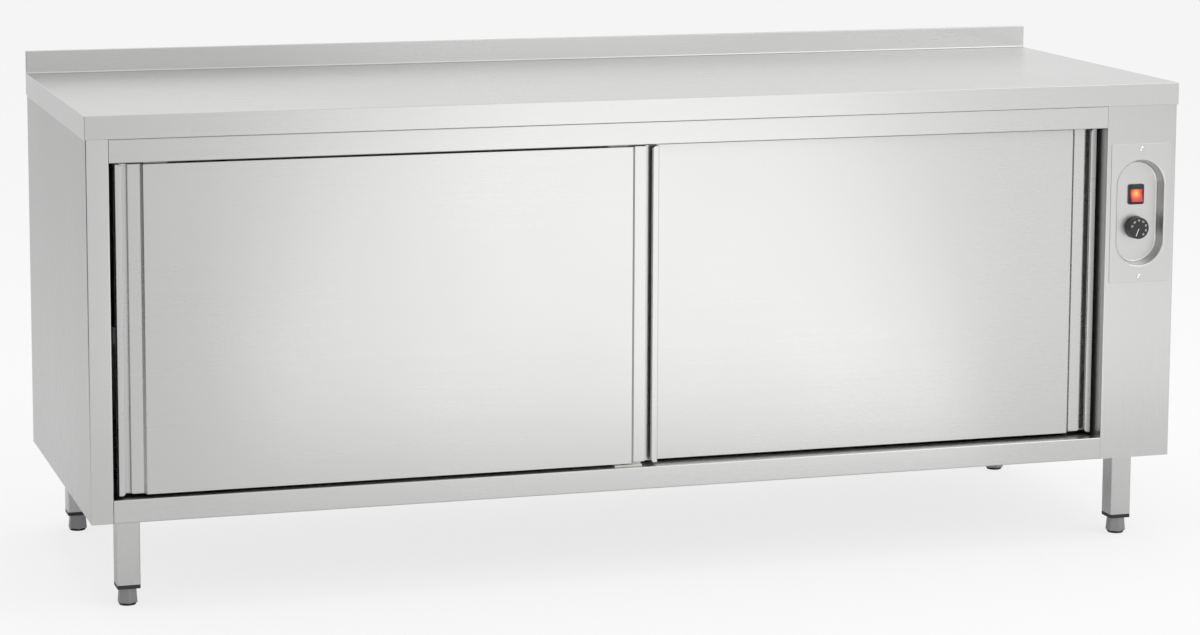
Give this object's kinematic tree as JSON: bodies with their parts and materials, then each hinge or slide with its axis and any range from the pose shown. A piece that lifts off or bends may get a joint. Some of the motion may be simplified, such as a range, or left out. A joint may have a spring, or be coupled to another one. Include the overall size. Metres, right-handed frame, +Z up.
{
  "type": "heated plate cupboard",
  "caption": "Floor-standing heated cupboard with a worktop and rear upstand, sliding doors, an inner shelf, a fan heater and a control column, for warming plates.",
  "frame": {"origin": "on the floor, under the middle of the worktop in width and depth", "axes": "+X runs to the right along the front, +Y from the front to the back, +Z up"},
  "size_m": [2, 0.7, 0.892],
  "materials": {
    "brushed_steel": "fine brushed",
    "plain_steel": "mill finish",
    "galvanised": "galvanised",
    "board": "raw board",
    "insulation": "mineral fibre",
    "hard_foam": "rigid filling",
    "black_plastic": "satin black",
    "grey_plastic": "matt",
    "dark_plastic": "matt",
    "white_plastic": "matt",
    "red_plastic": "translucent red",
    "rubber": "matt",
    "ceramic": "glazed",
    "copper": "bare",
    "aluminium": "plain",
    "element_steel": "oxidised"
  },
  "bodies": {
    "cabinet": {"worktop": "brushed_steel", "worktop_core": "board", "worktop_stiffeners": "galvanised", "left_side_panel": "brushed_steel", "right_side_panel": "brushed_steel", "top_rail": "brushed_steel", "floor_pan": "brushed_steel", "underside_pan": "galvanised", "back_panel": "galvanised", "back_liner": "plain_steel", "left_liner": "plain_steel", "service_partition": "plain_steel", "roof_liner": "plain_steel", "insulation_slabs": "insulation", "upper_track": "plain_steel", "track_stops": "rubber", "lower_guide": "white_plastic", "shelf": "plain_steel", "shelf_uprights": "plain_steel", "shelf_clips": "plain_steel", "legs": "brushed_steel", "leg_sockets": "galvanised", "leg_caps": "dark_plastic", "control_plate": "brushed_steel", "control_screws": "brushed_steel", "switch_housing": "black_plastic", "thermostat": "ceramic", "thermostat_bulb": "copper", "fan_housing": "galvanised", "fan_motor": "galvanised", "heating_element": "element_steel", "terminal_block": "white_plastic", "cable_gland": "dark_plastic"},
    "left_door": {"left_door_skin": "brushed_steel", "left_door_back": "plain_steel", "left_door_core": "hard_foam", "left_door_hangers": "plain_steel", "left_door_channel": "white_plastic"},
    "left_door_left_roller": {"left_door_left_roller": "white_plastic"},
    "left_door_right_roller": {"left_door_right_roller": "white_plastic"},
    "right_door": {"right_door_skin": "brushed_steel", "right_door_back": "plain_steel", "right_door_core": "hard_foam", "right_door_hangers": "plain_steel", "right_door_channel": "white_plastic"},
    "right_door_left_roller": {"right_door_left_roller": "white_plastic"},
    "right_door_right_roller": {"right_door_right_roller": "white_plastic"},
    "thermostat_knob": {"knob": "black_plastic", "knob_shaft": "plain_steel"},
    "mains_switch_rocker": {"switch_rocker": "red_plastic"},
    "circulation_fan": {"fan_rotor": "aluminium"},
    "front_left_levelling_foot": {"front_left_foot": "grey_plastic", "front_left_sole": "rubber"},
    "front_right_levelling_foot": {"front_right_foot": "grey_plastic", "front_right_sole": "rubber"},
    "rear_left_levelling_foot": {"rear_left_foot": "grey_plastic", "rear_left_sole": "rubber"},
    "rear_right_levelling_foot": {"rear_right_foot": "grey_plastic", "rear_right_sole": "rubber"}
  },
  "joints": [
    {"name": "left_door_slide", "type": "slide", "parent": "cabinet", "child": "left_door", "axis": [1, 0, 0], "range_m": [0, 0.84825]},
    {"name": "right_door_slide", "type": "slide", "parent": "cabinet", "child": "right_door", "axis": [1, 0, 0], "range_m": [-0.84825, 0]},
    {"name": "left_door_left_roller_spin", "type": "hinge", "parent": "left_door", "child": "left_door_left_roller", "pos_m": [-0.879, -0.3212, 0.7843], "axis": [0, 1, 0], "continuous": true},
    {"name": "left_door_right_roller_spin", "type": "hinge", "parent": "left_door", "child": "left_door_right_roller", "pos_m": [-0.06425, -0.3212, 0.7843], "axis": [0, 1, 0], "continuous": true},
    {"name": "right_door_left_roller_spin", "type": "hinge", "parent": "right_door", "child": "right_door_left_roller", "pos_m": [-0.03025, -0.2982, 0.7843], "axis": [0, 1, 0], "continuous": true},
    {"name": "right_door_right_roller_spin", "type": "hinge", "parent": "right_door", "child": "right_door_right_roller", "pos_m": [0.7845, -0.2982, 0.7843], "axis": [0, 1, 0], "continuous": true},
    {"name": "thermostat_knob_turn", "type": "hinge", "parent": "cabinet", "child": "thermostat_knob", "pos_m": [0.9295, -0.327, 0.583], "axis": [0, 1, 0], "range_deg": [-203.5, 74]},
    {"name": "mains_switch_tilt", "type": "hinge", "parent": "cabinet", "child": "mains_switch_rocker", "pos_m": [0.9295, -0.321, 0.644], "axis": [1, 0, 0], "range_deg": [0, 16]},
    {"name": "circulation_fan_spin", "type": "hinge", "parent": "cabinet", "child": "circulation_fan", "pos_m": [0.8617, 0.06, 0.4825], "axis": [1, 0, 0], "continuous": true},
    {"name": "front_left_foot_turn", "type": "hinge", "parent": "cabinet", "child": "front_left_levelling_foot", "pos_m": [-0.928, -0.28, 0.03], "axis": [0, 0, 1], "continuous": true},
    {"name": "front_right_foot_turn", "type": "hinge", "parent": "cabinet", "child": "front_right_levelling_foot", "pos_m": [0.928, -0.28, 0.03], "axis": [0, 0, 1], "continuous": true},
    {"name": "rear_left_foot_turn", "type": "hinge", "parent": "cabinet", "child": "rear_left_levelling_foot", "pos_m": [-0.928, 0.28, 0.03], "axis": [0, 0, 1], "continuous": true},
    {"name": "rear_right_foot_turn", "type": "hinge", "parent": "cabinet", "child": "rear_right_levelling_foot", "pos_m": [0.928, 0.28, 0.03], "axis": [0, 0, 1], "continuous": true}
  ],
  "couplings": [
    {"joint": "left_door_left_roller_spin", "follows": "left_door_slide", "rad_per_m": 76.923},
    {"joint": "left_door_right_roller_spin", "follows": "left_door_slide", "rad_per_m": 76.923},
    {"joint": "right_door_left_roller_spin", "follows": "right_door_slide", "rad_per_m": 76.923},
    {"joint": "right_door_right_roller_spin", "follows": "right_door_slide", "rad_per_m": 76.923}
  ]
}
